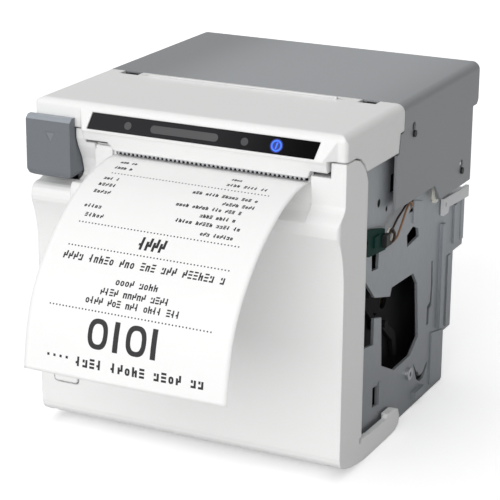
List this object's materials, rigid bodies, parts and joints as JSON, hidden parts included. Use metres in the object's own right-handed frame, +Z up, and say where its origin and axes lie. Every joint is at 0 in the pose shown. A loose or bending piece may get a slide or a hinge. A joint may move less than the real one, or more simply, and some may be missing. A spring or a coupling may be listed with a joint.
{
  "type": "receipt printer",
  "caption": "Front-exit thermal receipt printer with a swinging front door, inner paper roll, print mechanism, cutter and sheet steel frame",
  "frame": {"origin": "centre of the four mounting holes, on the underside of the base plate", "axes": "+Z up, -Y towards the front door and the paper exit, +X to the right seen from the front"},
  "size_m": [0.1293, 0.1987, 0.1314],
  "materials": {
    "white_plastic": "fine satin moulded surface",
    "grey_plastic": "fine satin moulded surface",
    "black_plastic": "satin",
    "window": "gloss",
    "clear_plastic": "clear",
    "natural_plastic": "satin",
    "painted_grey": "satin paint",
    "zinc_steel": "zinc plated",
    "steel": "ground",
    "spring_steel": "bright",
    "aluminium": "anodised",
    "ceramic": "smooth",
    "brass": "machined",
    "rubber": "matt",
    "thermal_paper": "smooth coated",
    "core_board": "matt",
    "circuit_board": "solder mask",
    "components": "matt",
    "cable": "smooth",
    "flat_cable": "smooth",
    "motor_can": "satin"
  },
  "bodies": {
    "chassis": {"top_cover": "white_plastic", "indicator_window": "window", "light_guides": "clear_plastic", "indicator_board": "circuit_board", "tear_bar": "steel", "hood": "painted_grey", "side_plate_right": "zinc_steel", "side_plate_left": "zinc_steel", "base_plate": "zinc_steel", "rear_plate": "zinc_steel", "top_plate": "zinc_steel", "head_bridge": "zinc_steel", "paper_bucket": "black_plastic", "paper_web": "thermal_paper", "feed_motor": "motor_can", "motor_bracket": "zinc_steel", "gear_posts": "steel", "head_rod": "steel", "head_springs": "spring_steel", "head_cable": "flat_cable", "cutter_frame": "zinc_steel", "cutter_motor": "motor_can", "catch_pin": "steel", "near_end_sensor": "black_plastic", "side_board": "circuit_board", "side_harness": "cable", "main_board": "circuit_board", "board_parts": "components", "rear_ports": "components", "board_standoffs": "brass", "rear_bracket": "white_plastic", "rear_box": "grey_plastic", "hood_screws": "steel", "frame_screws": "steel"},
    "roll": {"paper_roll": "thermal_paper", "roll_core": "core_board"},
    "door": {"front_door": "white_plastic", "door_liner": "black_plastic", "platen_carrier": "zinc_steel", "platen_bushings": "natural_plastic", "counter_blade": "steel", "latch_pin": "steel", "hinge_pins": "steel", "button_board": "circuit_board"},
    "platen": {"platen_rubber": "rubber", "platen_shaft": "steel", "platen_gear": "natural_plastic"},
    "button": {"feed_button": "white_plastic"},
    "receipt_strip": {"receipt": "thermal_paper"},
    "idler": {"idler_gear": "natural_plastic"},
    "pinion": {"motor_pinion": "brass"},
    "head": {"thermal_head": "ceramic", "heat_sink": "aluminium"},
    "blade": {"moving_blade": "steel"},
    "cutter_wheel": {"cutter_gear": "natural_plastic"},
    "cutter_drive": {"cutter_pinion": "brass"},
    "lever": {"open_lever": "grey_plastic", "latch_hook": "zinc_steel", "lever_spring": "spring_steel"},
    "near_end": {"near_end_lever": "black_plastic"}
  },
  "joints": [
    {"name": "door_open", "type": "hinge", "parent": "chassis", "child": "door", "pos_m": [0, -0.052, 0.0205], "axis": [1, 0, 0], "range_deg": [0, 80], "stiffness_Nm_per_rad": 0.6},
    {"name": "roll_spin", "type": "hinge", "parent": "chassis", "child": "roll", "pos_m": [0.0096, -0.002, 0.049], "axis": [1, 0, 0], "continuous": true},
    {"name": "platen_spin", "type": "hinge", "parent": "door", "child": "platen", "pos_m": [0.0096, -0.052, 0.1062], "axis": [1, 0, 0], "continuous": true},
    {"name": "idler_spin", "type": "hinge", "parent": "chassis", "child": "idler", "pos_m": [-0.0545, -0.0374, 0.102], "axis": [1, 0, 0], "continuous": true},
    {"name": "pinion_spin", "type": "hinge", "parent": "chassis", "child": "pinion", "pos_m": [-0.0547, -0.0293, 0.093], "axis": [1, 0, 0], "continuous": true},
    {"name": "lever_press", "type": "hinge", "parent": "door", "child": "lever", "pos_m": [-0.0575, -0.055, 0.1164], "axis": [1, 0, 0], "range_deg": [0, 10], "stiffness_Nm_per_rad": 0.3},
    {"name": "button_press", "type": "slide", "parent": "door", "child": "button", "axis": [0, 1, 0], "range_m": [0, 0.001], "stiffness_N_per_m": 600},
    {"name": "receipt_swing", "type": "hinge", "parent": "door", "child": "receipt_strip", "pos_m": [0.0096, -0.067, 0.1128], "axis": [1, 0, 0], "range_deg": [-120, 0]},
    {"name": "head_lift", "type": "hinge", "parent": "chassis", "child": "head", "pos_m": [0.0096, -0.034, 0.1145], "axis": [1, 0, 0], "range_deg": [-1.5, 0], "stiffness_Nm_per_rad": 2, "deforming": ["head_springs"]},
    {"name": "blade_cut", "type": "slide", "parent": "chassis", "child": "blade", "axis": [0, 0, -1], "range_m": [0, 0.004]},
    {"name": "cutter_gear_spin", "type": "hinge", "parent": "chassis", "child": "cutter_wheel", "pos_m": [0.0547, -0.0593, 0.1223], "axis": [1, 0, 0], "range_deg": [0, 65]},
    {"name": "cutter_pinion_spin", "type": "hinge", "parent": "chassis", "child": "cutter_drive", "pos_m": [0.0548, -0.0535, 0.1242], "axis": [1, 0, 0], "range_deg": [-97, 0]},
    {"name": "near_end_swing", "type": "hinge", "parent": "chassis", "child": "near_end", "pos_m": [0.0537, -0.014, 0.044], "axis": [1, 0, 0], "range_deg": [-10, 10]}
  ],
  "couplings": [
    {"joint": "platen_spin", "follows": "roll_spin", "ratio": -6.6667},
    {"joint": "idler_spin", "follows": "roll_spin", "ratio": 6},
    {"joint": "pinion_spin", "follows": "roll_spin", "ratio": -12},
    {"joint": "receipt_swing", "follows": "door_open", "ratio": -1.45},
    {"joint": "cutter_gear_spin", "follows": "blade_cut", "rad_per_m": 277.78},
    {"joint": "cutter_pinion_spin", "follows": "blade_cut", "rad_per_m": -416.67}
  ]
}
